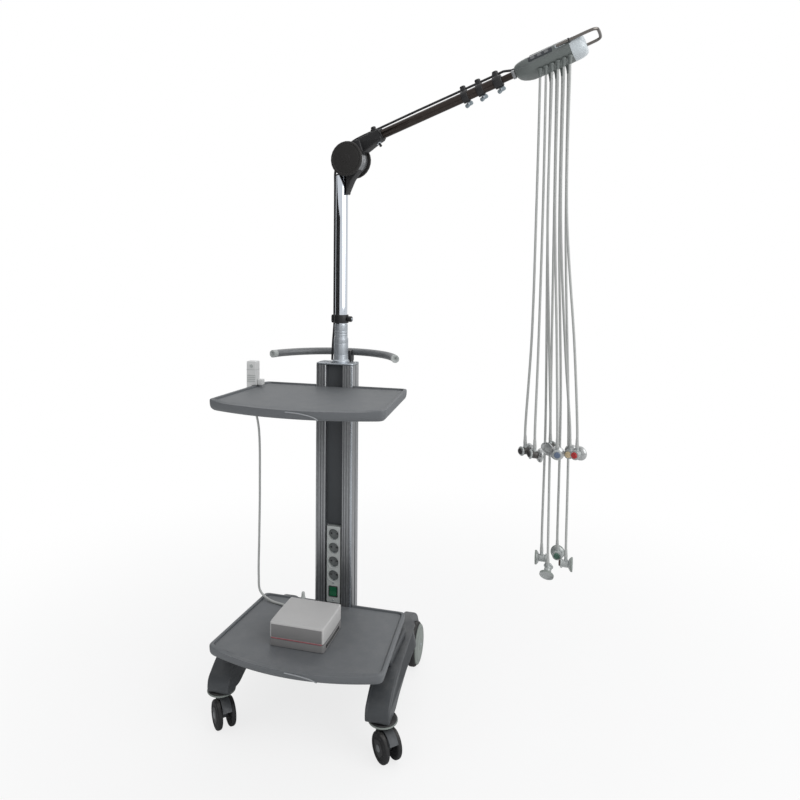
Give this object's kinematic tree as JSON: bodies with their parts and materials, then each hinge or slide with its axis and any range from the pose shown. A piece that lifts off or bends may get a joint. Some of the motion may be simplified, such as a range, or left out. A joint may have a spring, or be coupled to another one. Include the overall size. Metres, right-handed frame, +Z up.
{
  "type": "electrocardiograph trolley",
  "caption": "Wheeled two-shelf trolley with mains column, mast and hinged arm that holds ten hanging suction electrodes.",
  "frame": {"origin": "on the floor, at the middle of the box around the part without its free cords", "axes": "+X towards the side the arm reaches over at rest, -Y the trolley's front, +Z up"},
  "size_m": [1.0438, 0.6012, 1.9104],
  "materials": {
    "shelf_plastic": "fine-grained moulded plastic",
    "cast_frame": "dark grey powder coat on cast alloy",
    "handle_metal": "grey powder-coated tube",
    "pale_bumper": "matt",
    "black_plastic": "matt black",
    "tyre": "matt black",
    "column_alloy": "satin anodised",
    "chrome": "polished",
    "socket_panel": "satin",
    "switch_green": "translucent green",
    "pump_grey": "fine texture",
    "pump_white": "fine texture",
    "hose_grey": "satin",
    "air_hose": "satin",
    "head_grey": "satin",
    "head_light": "satin",
    "steel_rod": "brushed",
    "electrode": "satin metal with plastic body"
  },
  "bodies": {
    "trolley": {"base_crossmember": "cast_frame", "leg_left": "cast_frame", "leg_right": "cast_frame", "bumper_left": "pale_bumper", "bumper_right": "pale_bumper", "column_profile": "column_alloy", "socket_strip": "socket_panel", "lower_shelf": "shelf_plastic", "upper_shelf": "shelf_plastic", "handle_bar": "handle_metal", "handle_bracket": "black_plastic", "mast_sleeve": "column_alloy", "pump_base": "pump_grey", "pump_cover": "pump_white", "data_cable": "hose_grey", "data_connector": "pump_white"},
    "caster_left": {"caster_left_fork": "black_plastic"},
    "caster_left_roller": {"caster_left_wheels": "tyre"},
    "caster_right": {"caster_right_fork": "black_plastic"},
    "caster_right_roller": {"caster_right_wheels": "tyre"},
    "rear_roller_left": {"rear_wheel_left": "tyre"},
    "rear_roller_right": {"rear_wheel_right": "tyre"},
    "switch": {"power_switch": "switch_green"},
    "mast": {"mast_tube": "chrome", "mast_clip": "black_plastic", "elbow_hub": "column_alloy", "elbow_bracket": "black_plastic", "air_hose_mast": "air_hose"},
    "arm": {"elbow_disc_front": "black_plastic", "elbow_disc_rear": "black_plastic", "arm_block": "black_plastic", "arm_tube": "chrome", "arm_clip_inner": "black_plastic", "arm_clip_outer": "black_plastic", "arm_collar": "black_plastic", "air_hose_arm": "air_hose"},
    "boom": {"boom_tube": "column_alloy", "head_shell": "head_grey", "head_end_cap": "head_light", "head_grip": "steel_rod"},
    "leads": {"chest_1_hose": "hose_grey", "chest_1_electrode": "electrode", "chest_2_hose": "hose_grey", "chest_2_electrode": "electrode", "chest_3_hose": "hose_grey", "chest_3_electrode": "electrode", "chest_4_hose": "hose_grey", "chest_4_electrode": "electrode", "chest_5_hose": "hose_grey", "chest_5_electrode": "electrode", "chest_6_hose": "hose_grey", "chest_6_electrode": "electrode", "limb_1_hose": "hose_grey", "limb_1_electrode": "electrode", "limb_2_hose": "hose_grey", "limb_2_electrode": "electrode", "limb_3_hose": "hose_grey", "limb_3_electrode": "electrode", "limb_4_hose": "hose_grey", "limb_4_electrode": "electrode"}
  },
  "joints": [
    {"name": "caster_left_swivel", "type": "hinge", "parent": "trolley", "child": "caster_left", "pos_m": [-0.48236, -0.20538, 0.091], "axis": [0, 0, 1], "continuous": true},
    {"name": "caster_left_roll", "type": "hinge", "parent": "caster_left", "child": "caster_left_roller", "pos_m": [-0.4668, -0.22093, 0.039], "axis": [0.7071, 0.7071, 0], "continuous": true},
    {"name": "rear_left_roll", "type": "hinge", "parent": "trolley", "child": "rear_roller_left", "pos_m": [-0.46936, 0.22162, 0.067], "axis": [1, 0, 0], "continuous": true},
    {"name": "caster_right_swivel", "type": "hinge", "parent": "trolley", "child": "caster_right", "pos_m": [-0.01036, -0.20538, 0.091], "axis": [0, 0, 1], "continuous": true},
    {"name": "caster_right_roll", "type": "hinge", "parent": "caster_right", "child": "caster_right_roller", "pos_m": [0.0052, -0.22093, 0.039], "axis": [0.7071, 0.7071, 0], "continuous": true},
    {"name": "rear_right_roll", "type": "hinge", "parent": "trolley", "child": "rear_roller_right", "pos_m": [-0.02336, 0.22162, 0.067], "axis": [1, 0, 0], "continuous": true},
    {"name": "switch_rock", "type": "hinge", "parent": "trolley", "child": "switch", "pos_m": [-0.24636, 0.06732, 0.281], "axis": [1, 0, 0], "range_deg": [0, 14]},
    {"name": "mast_swivel", "type": "hinge", "parent": "trolley", "child": "mast", "pos_m": [-0.24036, 0.10662, 1.065], "axis": [0, 0, 1], "range_deg": [-150, 150]},
    {"name": "arm_tilt", "type": "hinge", "parent": "mast", "child": "arm", "pos_m": [-0.20974, 0.10177, 1.617], "axis": [-0.1564, -0.9877, 0], "range_deg": [-30, 20], "deforming": ["air_hose_mast"]},
    {"name": "arm_extend", "type": "slide", "parent": "arm", "child": "boom", "axis": [0.9366, -0.1484, 0.3173], "range_m": [0, 0.06]},
    {"name": "leads_hang", "type": "hinge", "parent": "boom", "child": "leads", "pos_m": [0.40682, 0.00412, 1.81954], "axis": [-0.1564, -0.9877, 0], "range_deg": [-20, 30], "deforming": ["chest_1_hose", "chest_2_hose", "chest_3_hose", "chest_4_hose", "chest_5_hose", "chest_6_hose", "limb_1_hose", "limb_2_hose", "limb_3_hose", "limb_4_hose"]}
  ],
  "couplings": [
    {"joint": "leads_hang", "follows": "arm_tilt", "ratio": -1}
  ]
}
